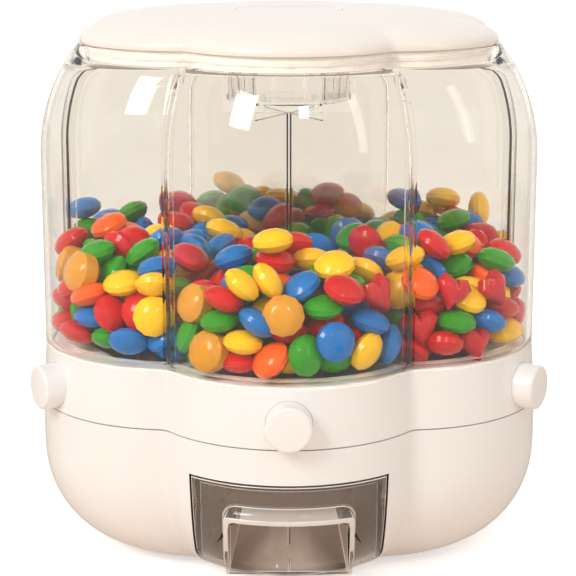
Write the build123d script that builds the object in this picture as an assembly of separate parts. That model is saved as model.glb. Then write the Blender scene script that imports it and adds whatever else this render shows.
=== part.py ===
from build123d import *
from math import atan2, cos, degrees, radians, sin, sqrt, tan
import os

os.makedirs("parts", exist_ok=True)

# Rotating candy dispenser, millimetres, +Z up, standing on z = 0 with its spindle on the Z axis.
# A bowl-shaped base holds a catch drawer. A six-lobed carousel turns on it: a button ring, a funnel floor
# and a clear barrel with six compartments. The front lobe points along -Y.

# Six-lobed plan form
lobe_count = 6
lobe_pitch = 360 / lobe_count
front_angle = -90
barrel_tip = 105.0
lobe_radius = 55.0
valley_radius = 6.0
shown_sides = 10
hidden_sides = 6
valley_sides = 3
ring_sides = 30
bowl_steps = 6
shoulder_steps = 5
dome_steps = 4
inner_steps = 3

# Feet and bowl
foot_height = 1.2
foot_radius = 6.0
foot_sides = 16
foot_fit = 0.1
foot_recess = 0.8
foot_circle = 48.0
base_height = 60.6
base_tip = 106.6
base_bottom_tip = 68.6
base_curve_height = 42.0
base_wall = 2.6
base_rib = 2.4
base_rib_length = 9.0

# Deck inside the bowl
deck_thickness = 2.6
deck_drop = 3.2
deck_fit = 0.3
track_inner = 38.0
track_outer = 46.0
track_height = 2.0
slide_ring_thickness = 1.5
slide_ring_play = 0.1
slide_ring_margin = 0.4
chute_wall = 2.0
chute_margin = 2.0
chute_drawer_gap = 0.8
chute_plate_gap = 0.6

# Screws
screw_sides = 12
screw_count = 5
screw_circle = 56.0
screw_radius = 1.5
screw_head_radius = 2.8
screw_head_height = 2.0
screw_length = 13.0
screw_clearance = 0.05
screw_end_gap = 0.5
boss_radius = 4.6
boss_height = 15.0
counterbore_radius = 3.2
counterbore_floor = 3.0

# Spindle
spindle_radius = 4.0
spindle_flange_radius = 9.0
spindle_flange_height = 1.4
spindle_root = 8.0
bush_wall = 2.0
bush_flange_radius = 7.5
bush_flange_height = 1.4
running_clearance = 0.05
hub_wall = 3.0
retainer_radius = 7.5
retainer_height = 1.0
spindle_rise = 1.0
spindle_screw_head = 3.4
bush_rise = 0.7
bush_seat_gap = 0.3

# Detent leaf that clicks into the carousel at each compartment
detent_radius = 49.4
detent_bump_radius = 1.8
detent_bump_rise = 0.5
detent_clearance = 0.25
detent_length = 24.0
detent_width = 3.6
detent_thickness = 1.0
detent_place = 150
detent_sides = 12
detent_foot = 5.0
detent_free_gap = 0.2

# Button ring
seam_gap = 0.5
ring_height = 22.2
ring_wall = 2.6
bracket_half = 5.0
bracket_reach = 7.0
bracket_height = 1.5
plate_lift = 2.0
plate_thickness = 2.5
plate_fit = 0.4

# Buttons and slot gates
button_radius = 8.75
button_sides = 20
button_hollow = 10.4
button_rise = 9.5
button_reach = 6.9
button_length = 15.2
button_face = 2.5
button_edge = 1.0
button_ear = 2.4
button_ear_height = 8.0
button_ear_thickness = 1.5
button_travel = 10.0
button_fit = 0.1
collar_wall = 1.9
ear_gap = 0.2
gate_thickness = 2.0
gate_play = 0.3
gate_margin = 2.3
gate_lip = 4.0
gate_stem = 9.6
gate_stem_gap = 0.3
gate_shoulder = 24.0
rail_width = 1.6
slot_length = 38.0
slot_depth = 9.5
slot_radius = 53.0
slot_corner = 4.0
spring_radius = 2.5
spring_wire = 0.8
spring_sides = 8
spring_post = 4.0
spring_post_depth = 2.0
spring_post_rise = 3.0
spring_post_radius = 84.0
spring_nub = 3.0

# Funnel floor
floor_thickness = 2.0
funnel_wall = 2.0
funnel_ridge = 2.4
funnel_inner = 16.0
funnel_corner = 82.0
funnel_outer = 88.0
corner_slope = 0.84
slot_grow = 0.5
ring_rim_gap = 0.4
hopper_boss_circle = 78.0
hopper_boss_radius = 3.6
hopper_screw_length = 11.0
screw_head_rise = 1.2

# Clear barrel and dividers
barrel_wall = 2.2
barrel_straight = 75.5
shoulder_radius = 66.0
shoulder_height = 43.6
barrel_foot_height = 2.6
barrel_foot_depth = 7.0
mouth_tip = 87.3
gasket_height = 0.8
gasket_width = 1.6
gasket_inset = 0.9
gasket_fit = 0.15
peg_width = 3.6
peg_depth = 2.0
peg_length = 5.0
peg_inset = 4.6
peg_fit = 0.3
groove_rib = 0.8
groove_depth = 3.2
divider_thickness = 1.8
divider_fit = 0.25
divider_core = 2.4
divider_lid_gap = 2.0

# Lid
lid_tip = 88.0
lid_gap = 0.3
lid_brim = 1.4
lid_rise = 9.2
lid_flat_tip = 40.0
lid_wall = 2.2
skirt_fit = 1.0
skirt_depth = 6.4
skirt_wall = 1.8
seal_height = 1.4
seal_proud = 0.8
seal_fit = 0.02
seal_from_edge = 2.6
cap_radius = 21.5
cap_gap = 0.3
cap_thickness = 1.6

# Desiccant basket
basket_radius = 26.0
basket_wall = 1.4
basket_drop = 25.5
basket_sides = 24
basket_boss_radius = 12.3
basket_boss_drop = 4.2
basket_slots = 12
basket_slot_width = 2.2
basket_slot_margin = 5.0
basket_lugs = 3
lug_angle = 36.0
lug_reach = 1.6
lug_thickness = 1.6
lug_play = 0.2
basket_fit = 0.5
socket_wall = 1.6

# Catch drawer
opening_half = 37.6
opening_taper = 1.6
opening_drop = 13.4
opening_corner = 9.0
drawer_gap = 0.8
drawer_floor_gap = 0.3
runner_gap = 0.5
runner_front = 54.0
stop_gap = 0.4
drawer_skin = 2.2
drawer_wall = 1.8
drawer_side_inset = 2.0
drawer_top_drop = 0.8
drawer_back = 36.0
rail_height = 9.0
hood_half = 24.5
hood_top = 38.0
hood_rim_top = 35.1
hood_corner = 5.0
hood_reach = 6.2
hood_steps = 4
pocket_depth = 11.0
pocket_taper = 5.0
pocket_throat = 4.4
pocket_lip = 1.2

# Levels that follow from the sizes above
base_floor = foot_height + base_wall
base_top = foot_height + base_height
deck_top = base_top - deck_drop
deck_bottom = deck_top - deck_thickness
track_top = deck_top + track_height
ring_bottom = base_top + seam_gap
ring_top = ring_bottom + ring_height
plate_bottom = ring_bottom + plate_lift
plate_top = plate_bottom + plate_thickness
gate_bottom = plate_top + gate_play
gate_top = gate_bottom + gate_thickness
funnel_bottom = gate_top + gate_play
button_level = ring_bottom + button_rise
floor_bottom = ring_top - floor_thickness
mouth_level = ring_top + barrel_straight + shoulder_height
brim_level = mouth_level + lid_gap
lid_top = brim_level + lid_brim + lid_rise
opening_top = base_top - opening_drop
drawer_bottom = base_floor + drawer_floor_gap
drawer_top = opening_top - drawer_gap - drawer_top_drop
button_face_radius = base_tip + button_reach
button_back_radius = button_face_radius - button_length


def polar(radius, angle):
    """A point in plan, at an angle from +X."""
    return Vector(radius * cos(radians(angle)), radius * sin(radians(angle)))


def flat(points):
    """A flat face with these corners."""
    return make_face(Polyline(points, close=True)).face()


def flat_sided(rings):
    """A solid whose flat sides join the matching corners of polygons that follow one another."""
    faces = [flat(rings[0]), flat(rings[-1])]
    for low, high in zip(rings, rings[1:]):
        for k in range(len(low)):
            faces.append(flat([low[k - 1], low[k], high[k], high[k - 1]]))
    return Solid(Shell(faces))


def lobed(tip, level, inset=0.0, sides=shown_sides):
    """The corners of six round lobes joined by small hollow arcs, each arc in short sides, drawn in by inset."""
    scale = tip / barrel_tip
    centre_radius = (barrel_tip - lobe_radius) * scale
    lobe = lobe_radius * scale - inset
    hollow = valley_radius * scale + inset
    half = radians(lobe_pitch / 2)
    hollow_radius = centre_radius * cos(half) + sqrt((lobe + hollow) ** 2 - (centre_radius * sin(half)) ** 2)
    sweep = degrees(atan2(hollow_radius * sin(half), hollow_radius * cos(half) - centre_radius))
    turn = sweep - lobe_pitch / 2
    points = []
    for k in range(lobe_count):
        angle = front_angle + lobe_pitch * k
        centre = polar(centre_radius, angle)
        points += [centre + polar(lobe, angle - sweep + 2 * sweep * j / sides) for j in range(sides + 1)]
        middle = angle + lobe_pitch / 2
        centre = polar(hollow_radius, middle)
        for j in range(1, valley_sides):
            points.append(centre + polar(hollow, middle + 180 + turn - 2 * turn * j / valley_sides))
    return [(p.X, p.Y, level) for p in points]


def lobed_prism(tip, bottom, top, inset=0.0, sides=hidden_sides):
    """An upright six-lobed solid."""
    return flat_sided([lobed(tip, bottom, inset, sides), lobed(tip, top, inset, sides)])


def lobed_ring(tip, bottom, top, outer, inner):
    """An upright six-lobed band between two insets."""
    return lobed_prism(tip, bottom, top, outer) - lobed_prism(tip, bottom - 1, top + 1, inner)


def block(x0, x1, y0, y1, z0, z1):
    """A box between two corners."""
    return Pos((x0 + x1) / 2, (y0 + y1) / 2, (z0 + z1) / 2) * Box(x1 - x0, y1 - y0, z1 - z0)


def rod(radius, bottom, top, x=0.0, y=0.0):
    """An upright cylinder."""
    return Pos(x, y, (bottom + top) / 2) * Cylinder(radius, top - bottom)


def stud(radius, bottom, top, y, sides=screw_sides):
    """An upright pin of a fastener, in flat sides, in the front lobe."""
    return Pos(0, y, bottom) * extrude(RegularPolygon(radius, sides), top - bottom)


def tube(inner, outer, bottom, top):
    """An upright ring about the spindle, in flat sides."""
    return stud(outer, bottom, top, 0, ring_sides) - stud(inner, bottom - 1, top + 1, 0, ring_sides)


def front_rod(radius, near, far, level, sides):
    """A bar in flat sides that points out of the front lobe, between two distances from the spindle."""
    return Pos(0, -near, level) * extrude(Plane.XZ * RegularPolygon(radius, sides), far - near)


def around(shape, offset=0.0):
    """Copies of a front-lobe shape at every lobe."""
    return [Rot(0, 0, offset + lobe_pitch * k) * shape for k in range(lobe_count)]


def ring_of(shape, count, step, start=0.0):
    """Copies of a shape turned about the spindle."""
    return [Rot(0, 0, start + step * k) * shape for k in range(count)]


def save(shape, node):
    """Writes one node."""
    export_step(shape if isinstance(shape, Compound) else Compound([shape]), f"parts/{node}.step")


def bowl_tip(level):
    """The bowl's tip radius at a level: a quarter ellipse up from the underside, then upright."""
    fall = max(0, 1 - (level - foot_height) / base_curve_height)
    return base_bottom_tip + (base_tip - base_bottom_tip) * sqrt(1 - fall ** 2)


def bowl_form(inset, ceiling, steps, sides):
    """The bowl's six-lobed body, drawn in by inset."""
    rise = base_curve_height - inset
    swell = base_tip - inset - base_bottom_tip
    sections = []
    for k in range(steps + 1):
        angle = radians(90 * k / steps)
        level = foot_height + base_curve_height - rise * cos(angle)
        sections.append(lobed(base_bottom_tip + swell * sin(angle) + inset, level, inset, sides))
    sections.append(lobed(base_tip, ceiling, inset, sides))
    return flat_sided(sections)


def barrel_form(inset, bottom, steps, sides):
    """The barrel's body: an upright band, then a shoulder that turns in along an arc."""
    start = ring_top + barrel_straight
    arc = shoulder_radius - inset
    sections = [lobed(barrel_tip, bottom, inset, sides)]
    for k in range(steps + 1):
        rise = shoulder_height * k / steps
        drop = arc - sqrt(arc ** 2 - rise ** 2)
        sections.append(lobed(barrel_tip - drop, start + rise, inset, sides))
    return flat_sided(sections)


def lid_form(inset, steps, sides):
    """The lid's dome above its brim: a quarter ellipse."""
    rise = lid_rise - inset
    sections = []
    for k in range(steps + 1):
        angle = radians(90 * k / steps)
        tip = lid_tip - (lid_tip - lid_flat_tip) * (1 - cos(angle))
        sections.append(lobed(tip, brim_level + lid_brim + rise * sin(angle), inset, sides))
    return flat_sided(sections)


def opening_prism(gap, near=runner_front):
    """The drawer opening, drawn in by gap: square at the top, rounded below, a little narrower at its foot."""
    top = opening_top - gap
    bottom = base_floor + (drawer_floor_gap if gap else 0)
    half = opening_half - gap
    foot = half - opening_taper
    face = flat([(-half, top), (half, top), (foot, bottom), (-foot, bottom)])
    face = fillet(face.vertices().sort_by(Axis.Y)[:2], opening_corner - gap)
    return Pos(0, -near, 0) * extrude(Plane.XZ * face, base_tip + 2 - near)


def pan(level, near, corner, corner_half, far, grow=0.0):
    """The corners of a compartment: a short inner edge, sides along the dividers and cut outer corners."""
    side_slope = tan(radians(lobe_pitch / 2))
    side = corner_half - corner * side_slope + grow * sqrt(1 + side_slope ** 2)
    outer = corner_half + corner / corner_slope + grow * sqrt(1 + 1 / corner_slope ** 2)
    bend = (outer - side) / (side_slope + 1 / corner_slope)
    right = [(side + (near - grow) * side_slope, grow - near, level)]
    right.append((side + bend * side_slope, -bend, level))
    right.append((outer - (far + grow) / corner_slope, -far - grow, level))
    return right + [(-x, y, z) for x, y, z in reversed(right)]


def outlet(level, grow=0.0):
    """The corners of the front compartment's outlet slot."""
    far = slot_radius + slot_depth
    return pan(level, slot_radius, far - slot_corner, slot_length / 2, far, grow)


def base_bowl():
    bowl = bowl_form(0, base_top, bowl_steps, shown_sides)
    bowl = bowl - bowl_form(base_wall, base_top + 1, inner_steps, hidden_sides)
    reach = valley_reach(base_tip)
    rib = block(-base_rib / 2, base_rib / 2, -reach, base_rib_length - reach, base_floor, deck_bottom)
    side = tray_half() + runner_gap
    rail_top = base_floor + rail_height
    runner = block(side, side + base_rib, -runner_front, -drawer_back, base_floor - 0.5, rail_top)
    stop_face = stop_gap - drawer_back
    stop = block(-side, side, stop_face, stop_face + base_rib, base_floor - 0.5, rail_top)
    inside = bowl_form(base_wall / 2, base_top, inner_steps, hidden_sides)
    for shape in around(rib, lobe_pitch / 2) + [runner, mirror(runner, Plane.YZ), stop]:
        bowl = bowl + (inside & shape)
    bowl = bowl - opening_prism(0)
    post_top = base_floor + boss_height
    for shape in screw_places(stud(boss_radius, base_floor - 0.5, post_top, -screw_circle)):
        bowl = bowl + shape
    drill = stud(counterbore_radius, 0, post_top - counterbore_floor, -screw_circle)
    drill = drill + stud(screw_radius + screw_clearance, 0, post_top + 1, -screw_circle)
    foot = stud(foot_radius + foot_fit, 0, foot_height + foot_recess, -foot_circle, foot_sides)
    for shape in screw_places(drill) + around(foot, lobe_pitch / 2):
        bowl = bowl - shape
    return bowl


def tray_half():
    """Half the width of the drawer's tray."""
    return opening_half - drawer_gap - drawer_side_inset


def screw_places(shape):
    """Copies at the screws, one in every lobe but the drawer's."""
    return ring_of(shape, screw_count, lobe_pitch, lobe_pitch)


def base_deck():
    deck = lobed_prism(base_tip, deck_bottom, deck_top, base_wall + deck_fit)
    deck = deck + tube(track_inner, track_outer, deck_top, track_top)
    far = slot_radius + slot_depth + chute_margin
    near = slot_radius - chute_margin
    half = slot_length / 2 + chute_margin
    low = drawer_top + chute_drawer_gap
    high = plate_bottom - chute_plate_gap
    wall = chute_wall
    deck = deck + block(-half - wall, half + wall, -far - wall, wall - near, low, high)
    deck = deck - block(-half, half, -far, -near, low - 1, high + 1)
    deck = deck + rod(spindle_radius + hub_wall, deck_top - spindle_root, deck_top)
    deck = deck - rod(spindle_radius + running_clearance, deck_top - spindle_root - 1, deck_top + 1)
    foot = base_floor + boss_height
    for shape in screw_places(stud(screw_radius + hub_wall, foot, deck_bottom, -screw_circle)):
        deck = deck + shape
    hole = stud(screw_radius + screw_clearance, foot - 1, foot + screw_length, -screw_circle)
    for shape in screw_places(hole):
        deck = deck - shape
    return deck


def base_screws():
    seat = base_floor + boss_height - counterbore_floor
    screw = stud(screw_head_radius, seat - screw_head_height, seat, -screw_circle)
    screw = screw + stud(screw_radius, seat, seat + screw_length, -screw_circle)
    return Compound(screw_places(screw))


def rubber_feet():
    foot = stud(foot_radius, 0, foot_height + foot_recess, -foot_circle, foot_sides)
    return Compound(around(foot, lobe_pitch / 2))


def slide_ring():
    inner = track_inner + slide_ring_margin
    outer = track_outer - slide_ring_margin
    return tube(inner, outer, track_top, track_top + slide_ring_thickness)


def spindle_post():
    top = spindle_top()
    post = stud(spindle_flange_radius, deck_top, deck_top + spindle_flange_height, 0, ring_sides)
    post = post + rod(spindle_radius, deck_top - spindle_root, top)
    return post - stud(screw_radius + screw_clearance, top - screw_length, top + 1, 0)


def spindle_top():
    """The post ends just above the bush, so that the washer holds the carousel down with a little play."""
    return gate_top + spindle_rise


def spindle_washer():
    top = spindle_top()
    high = top + retainer_height
    hole = stud(screw_radius + screw_clearance, top - 1, high + 1, 0)
    return stud(retainer_radius, top, high, 0, ring_sides) - hole


def spindle_screw():
    seat = spindle_top() + retainer_height
    screw = stud(spindle_screw_head, seat, seat + screw_head_height, 0)
    return screw + stud(screw_radius, seat - screw_length + screw_end_gap, seat, 0)


def detent_leaf():
    """A sprung leaf on the deck whose round nose stands in one of the plate's six notches."""
    nose_top = plate_bottom + detent_bump_rise
    leaf_top = nose_top - detent_bump_radius
    half = detent_width / 2
    near = -detent_radius - half
    far = -detent_radius + half
    leaf = block(0, detent_length, near, far, leaf_top - detent_thickness, leaf_top)
    foot = block(detent_length - detent_foot, detent_length, near, far, deck_top, leaf_top - detent_free_gap)
    nose = front_rod(detent_bump_radius, -far, -near, leaf_top, detent_sides)
    nose = nose & block(-detent_foot, detent_foot, near - 1, far + 1, leaf_top - detent_thickness, nose_top + 1)
    return Rot(0, 0, detent_place) * (leaf + foot + nose)


def ring_form(inset, bottom, top, sides):
    """The button ring's body, flush with the bowl below and the barrel above."""
    return flat_sided([lobed(base_tip, bottom, inset, sides), lobed(barrel_tip, top, inset, sides)])


def ring_housing():
    ring = ring_form(0, ring_bottom, ring_top, shown_sides)
    ring = ring - ring_form(ring_wall, ring_bottom - 1, ring_top + 1, hidden_sides)
    far = valley_reach(barrel_tip) - ring_wall / 2
    high = floor_bottom - bracket_height
    upper = block(-bracket_half, bracket_half, -far, bracket_reach - far, high, floor_bottom)
    upper = upper - peg_box(peg_fit, high - 1, floor_bottom + 1)
    lower = block(-bracket_half, bracket_half, -far, bracket_reach - far, plate_top, plate_top + bracket_height)
    stop = button_back_radius + button_ear_thickness + ear_gap
    collar_radius = button_radius + button_fit + collar_wall
    collar = front_rod(collar_radius, stop, base_tip - ring_wall / 2, button_level, button_sides)
    collar = collar & block(-lobe_radius, lobe_radius, -base_tip, 0, ring_bottom, high)
    bore = front_rod(button_radius + button_fit, stop - 1, base_tip + 1, button_level, button_sides)
    for shape in around(upper, lobe_pitch / 2) + around(lower, lobe_pitch / 2) + around(collar):
        ring = ring + shape
    for shape in around(bore):
        ring = ring - shape
    return ring


def valley_reach(tip, inset=0.0):
    """How far from the spindle the outline's valley lies."""
    scale = tip / barrel_tip
    centre_radius = (barrel_tip - lobe_radius) * scale
    half = radians(lobe_pitch / 2)
    total = (lobe_radius + valley_radius) * scale
    hollow = valley_radius * scale + inset
    return centre_radius * cos(half) + sqrt(total ** 2 - (centre_radius * sin(half)) ** 2) - hollow


def peg_box(gap, bottom, top):
    """One barrel peg at the front valley place, grown by gap."""
    far = valley_reach(barrel_tip) - peg_inset + gap
    return block(-peg_width / 2 - gap, peg_width / 2 + gap, -far, -far + peg_depth + 2 * gap, bottom, top)


def carousel_plate():
    plate = lobed_prism(base_tip, plate_bottom, plate_top, ring_wall + plate_fit)
    ring_low = track_top + slide_ring_thickness + slide_ring_play
    plate = plate + tube(track_inner, track_outer, ring_low, plate_bottom)
    hub_radius = spindle_radius + bush_wall + hub_wall
    plate = plate + stud(hub_radius, bush_flange_top(), gate_top, 0, ring_sides)
    plate = plate - rod(spindle_radius + bush_wall + running_clearance, ring_low - 1, gate_top + 1)
    rail_half = slot_length / 2 + gate_margin + gate_play
    rail = block(rail_half, rail_half + rail_width, -spring_post_radius, -slot_radius, plate_top - 0.5, gate_top)
    post_far = spring_post_radius + spring_post_depth
    post_top = button_level + spring_post_rise
    post = block(-spring_post / 2, spring_post / 2, -post_far, -spring_post_radius, plate_top - 0.5, post_top)
    nub_radius = spring_radius - spring_wire - button_fit
    post = post + front_rod(nub_radius, post_far - 0.5, post_far + spring_nub, button_level, spring_sides)
    for shape in around(rail) + around(mirror(rail, Plane.YZ)) + around(post):
        plate = plate + shape
    slot = flat_sided([outlet(plate_bottom - 1, slot_grow), outlet(plate_top + 1, slot_grow)])
    ear_half = button_radius + button_ear + ear_gap
    notch_near = button_back_radius - button_travel - ear_gap
    notch = block(-ear_half, ear_half, -base_tip, -notch_near, plate_bottom - 1, plate_top + 1)
    dent_level = plate_bottom + detent_bump_rise - detent_bump_radius
    dent_near = detent_radius - detent_width / 2 - detent_clearance
    dent_far = detent_radius + detent_width / 2 + detent_clearance
    dent = front_rod(detent_bump_radius + detent_clearance, dent_near, dent_far, dent_level, detent_sides)
    hole = stud(screw_radius + screw_clearance, plate_bottom - 1, plate_top + 1, -hopper_boss_circle)
    for shape in around(slot) + around(notch) + around(dent, lobe_pitch / 2) + around(hole, lobe_pitch / 2):
        plate = plate - shape
    return plate


def bush_flange_top():
    """The bush's flange bears under the plate's hub."""
    return deck_top + spindle_flange_height + bush_seat_gap + bush_flange_height


def hub_bush():
    flange_top = bush_flange_top()
    bush = stud(bush_flange_radius, flange_top - bush_flange_height, flange_top, 0, ring_sides)
    bush = bush + rod(spindle_radius + bush_wall, flange_top - 0.5, gate_top + bush_rise)
    return bush - rod(spindle_radius + running_clearance, 0, ring_top)


def carousel_screws():
    screw = stud(screw_head_radius, plate_bottom - screw_head_rise, plate_bottom, -hopper_boss_circle)
    screw = screw + stud(screw_radius, plate_bottom, plate_bottom + hopper_screw_length, -hopper_boss_circle)
    return Compound(around(screw, lobe_pitch / 2))


def hopper_floor():
    half = radians(lobe_pitch / 2)
    corner = funnel_corner * cos(half) + funnel_ridge * sin(half)
    corner_half = funnel_corner * sin(half) - funnel_ridge * cos(half)
    floor = lobed_prism(barrel_tip, floor_bottom, ring_top, ring_wall + ring_rim_gap)
    body_top = pan(floor_bottom + 0.5, funnel_inner, corner, corner_half, funnel_outer, funnel_wall)
    body = flat_sided([body_top, outlet(funnel_bottom, funnel_wall)])
    boss = stud(hopper_boss_radius, plate_top, floor_bottom + 0.5, -hopper_boss_circle)
    for shape in around(body) + around(boss, lobe_pitch / 2):
        floor = floor + shape
    bore_top = pan(ring_top, funnel_inner, corner, corner_half, funnel_outer)
    bore = flat_sided([bore_top, outlet(funnel_bottom)])
    screw_top = plate_bottom + hopper_screw_length + screw_end_gap
    hole = stud(screw_radius + screw_clearance, plate_top - 1, screw_top, -hopper_boss_circle)
    peg_hole = peg_box(peg_fit, floor_bottom - 1, ring_top + 1)
    for shape in around(bore) + around(hole, lobe_pitch / 2) + around(peg_hole, lobe_pitch / 2):
        floor = floor - shape
    return floor


def button():
    """A round cap with a bevelled face and two ears that stop it at the ring's collar."""
    bevel = button_face_radius - button_edge
    cap = front_rod(button_radius, button_back_radius, bevel, button_level, button_sides)
    rim = Plane.XZ * RegularPolygon(button_radius, button_sides)
    face = Plane.XZ * RegularPolygon(button_radius - button_edge, button_sides)
    cap = cap + loft([Pos(0, -bevel, button_level) * rim, Pos(0, -button_face_radius, button_level) * face])
    ear = button_radius + button_ear
    low = button_level - button_ear_height / 2
    ear_far = button_back_radius + button_ear_thickness
    cap = cap + block(-ear, ear, -ear_far, -button_back_radius, low, low + button_ear_height)
    half = button_hollow / 2
    floor = button_face_radius - button_face
    high = button_level + spring_radius + gate_stem_gap
    return cap - block(-half, half, -floor, 1 - button_back_radius, gate_bottom - gate_stem_gap, high)


def gate_slide():
    """A flat slide: closed lip, window that meets the outlet when pressed, shoulder and stem to the button."""
    half = slot_length / 2 + gate_margin
    shoulder = slot_radius + slot_depth + gate_shoulder
    slide = block(-half, half, -shoulder, gate_lip - slot_radius, gate_bottom, gate_top)
    stem_end = button_face_radius - button_face
    slide = slide + block(-gate_stem / 2, gate_stem / 2, -stem_end, 1 - shoulder, gate_bottom, gate_top)
    window = Pos(0, -button_travel, 0) * flat_sided([outlet(gate_bottom - 1), outlet(gate_top + 1)])
    slot_half = spring_post / 2 + gate_play
    slot_far = spring_post_radius + spring_post_depth + button_travel + gate_play
    slot_near = spring_post_radius - gate_play
    return slide - window - block(-slot_half, slot_half, -slot_far, -slot_near, gate_bottom - 1, gate_top + 1)


def gate_spring():
    """The room that the return spring fills, from its post to the inside of the button's face."""
    near = spring_post_radius + spring_post_depth
    far = button_face_radius - button_face
    coil = front_rod(spring_radius, near, far, button_level, spring_sides)
    return coil - front_rod(spring_radius - spring_wire, near - 1, far + 1, button_level, spring_sides)


def clear_barrel():
    """A clear six-lobed shell with an inward foot, a pair of ribs for each divider and a peg in each valley."""
    bottom = ring_top
    foot_top = bottom + barrel_foot_height
    shell = barrel_form(0, bottom, shoulder_steps, shown_sides)
    shell = shell - barrel_form(barrel_wall, foot_top, inner_steps, hidden_sides)
    shell = shell - lobed_prism(barrel_tip, bottom - 1, foot_top + 1, barrel_foot_depth)
    near = gasket_inset - gasket_fit
    far = gasket_inset + gasket_width + gasket_fit
    shell = shell - lobed_ring(barrel_tip, bottom, bottom + gasket_height + gasket_fit, near, far)
    shell = shell - lobed_prism(mouth_tip, mouth_level - skirt_depth, mouth_level + 1)
    gap = divider_thickness / 2 + divider_fit
    rib_top = mouth_level - skirt_depth - divider_fit
    rib = block(gap, gap + groove_rib, -barrel_tip, -lobe_radius, foot_top, rib_top)
    room = barrel_form(barrel_wall / 2, foot_top - 0.5, inner_steps, hidden_sides)
    room = room - barrel_form(barrel_wall + groove_depth, foot_top - 0.5, inner_steps, hidden_sides)
    for shape in around(rib, lobe_pitch / 2) + around(mirror(rib, Plane.YZ), lobe_pitch / 2):
        shell = shell + (shape & room)
    for shape in around(peg_box(0, bottom - peg_length, foot_top - 0.5), lobe_pitch / 2):
        shell = shell + shape
    return shell


def barrel_gasket():
    return lobed_ring(barrel_tip, ring_top, ring_top + gasket_height, gasket_inset, gasket_inset + gasket_width)


def divider_star():
    """Six vanes on one core, with room in the middle for the lid's basket."""
    top = mouth_level - skirt_depth - divider_lid_gap
    vane = block(-divider_thickness / 2, divider_thickness / 2, -barrel_tip, 0, ring_top, top)
    star = stud(divider_core, ring_top, top, 0)
    for shape in around(vane, lobe_pitch / 2):
        star = star + shape
    clear = barrel_wall + divider_fit
    star = star & barrel_form(clear, ring_top - 1, inner_steps, hidden_sides)
    foot_top = ring_top + barrel_foot_height + divider_fit
    star = star - lobed_ring(barrel_tip, ring_top - 1, foot_top, 0, barrel_foot_depth + divider_fit)
    basket_low = brim_level - basket_drop - basket_boss_drop - divider_lid_gap
    return star - stud(basket_radius + divider_lid_gap, basket_low, mouth_level, 0, basket_sides)


def lid_cover():
    """A domed flower-shaped cover with a plug skirt, a bayonet socket below and a round recess on top."""
    skirt_tip = mouth_tip - skirt_fit
    low = brim_level - skirt_depth
    edge = brim_level + lid_brim
    lid = lid_form(0, dome_steps, shown_sides) + lobed_prism(lid_tip, brim_level, edge, 0, shown_sides)
    lid = lid + lobed_prism(skirt_tip, low, edge) - lid_form(lid_wall, inner_steps, hidden_sides)
    lid = lid - lobed_prism(skirt_tip, low - 1, edge + 0.5, skirt_wall)
    inner = basket_radius + lug_reach + basket_fit
    roof = lid_top - lid_wall / 2
    lid = lid + tube(inner, inner + socket_wall, socket_low(), roof)
    lip = tube(basket_radius + basket_fit, inner + socket_wall / 2, socket_low(), socket_low() + lug_thickness)
    for shape in lug_sectors(lip):
        lid = lid + shape
    recess = cap_radius + cap_gap
    lid = lid + stud(recess + lid_wall, lid_top - cap_thickness - lid_wall, roof, 0, ring_sides)
    return lid - stud(recess, lid_top - cap_thickness, lid_top + 1, 0, ring_sides)


def socket_low():
    """The underside of the basket's bayonet socket."""
    return brim_level + lug_play


def lug_sectors(ring):
    """Three parts of a ring, each as wide as a bayonet lug."""
    reach = 3 * basket_radius
    half = radians(lug_angle / 2)
    wedge = flat([(0, 0), (reach * cos(half), -reach * sin(half)), (reach * cos(half), reach * sin(half))])
    cutter = Pos(0, 0, brim_level - lid_rise) * extrude(wedge, 2 * lid_rise)
    return [(Rot(0, 0, 360 / basket_lugs * k) * cutter) & ring for k in range(basket_lugs)]


def lid_seal():
    skirt_tip = mouth_tip - skirt_fit
    low = brim_level - skirt_depth + seal_from_edge
    return lobed_ring(skirt_tip, low, low + seal_height, -seal_proud, -seal_fit)


def lid_centre_cap():
    return stud(cap_radius, lid_top - cap_thickness, lid_top, 0, ring_sides)


def desiccant_basket():
    """A slotted clear cup that hangs from the lid by three bayonet lugs."""
    top = socket_low() + 2 * lug_thickness + lug_play
    low = brim_level - basket_drop
    cup = stud(basket_radius, low, top, 0, basket_sides)
    cup = cup - stud(basket_radius - basket_wall, low + basket_wall, top + 1, 0, basket_sides)
    boss = stud(basket_boss_radius, low - basket_boss_drop, low + basket_wall / 2, 0, basket_sides)
    cup = cup + (boss - stud(basket_boss_radius - basket_wall, low - basket_boss_drop - 1, low, 0, basket_sides))
    lug = tube(basket_radius - basket_wall, basket_radius + lug_reach, top - lug_thickness, top)
    for shape in lug_sectors(lug):
        cup = cup + shape
    half = basket_slot_width / 2
    slot_top = brim_level - skirt_depth
    slot = block(-half, half, -basket_radius - 1, 3 - basket_radius, low + basket_slot_margin, slot_top)
    for shape in ring_of(slot, basket_slots, 360 / basket_slots):
        cup = cup - shape
    return cup


def hood_face(grow, low):
    """The grip's outline seen from the front: upright sides and a top with round corners."""
    half = hood_half + grow
    top = (hood_top if grow == 0 else hood_rim_top) + foot_height + grow
    face = flat([(-half, low), (half, low), (half, top), (-half, top)])
    return fillet(face.vertices().sort_by(Axis.Y)[2:], hood_corner + grow)


def grip_form():
    """The grip's front swells out of the drawer's front towards its rim, then falls back to it."""
    low = drawer_bottom
    high = hood_rim_top + foot_height
    sections = []
    for k in range(hood_steps + 1):
        level = low + (high - low) * k / hood_steps
        swell = hood_reach * sin(radians(90 * k / hood_steps))
        sections.append(lobed(bowl_tip(level) + swell, level))
    sections.append(lobed(base_tip, hood_top + foot_height))
    return flat_sided(sections)


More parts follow.
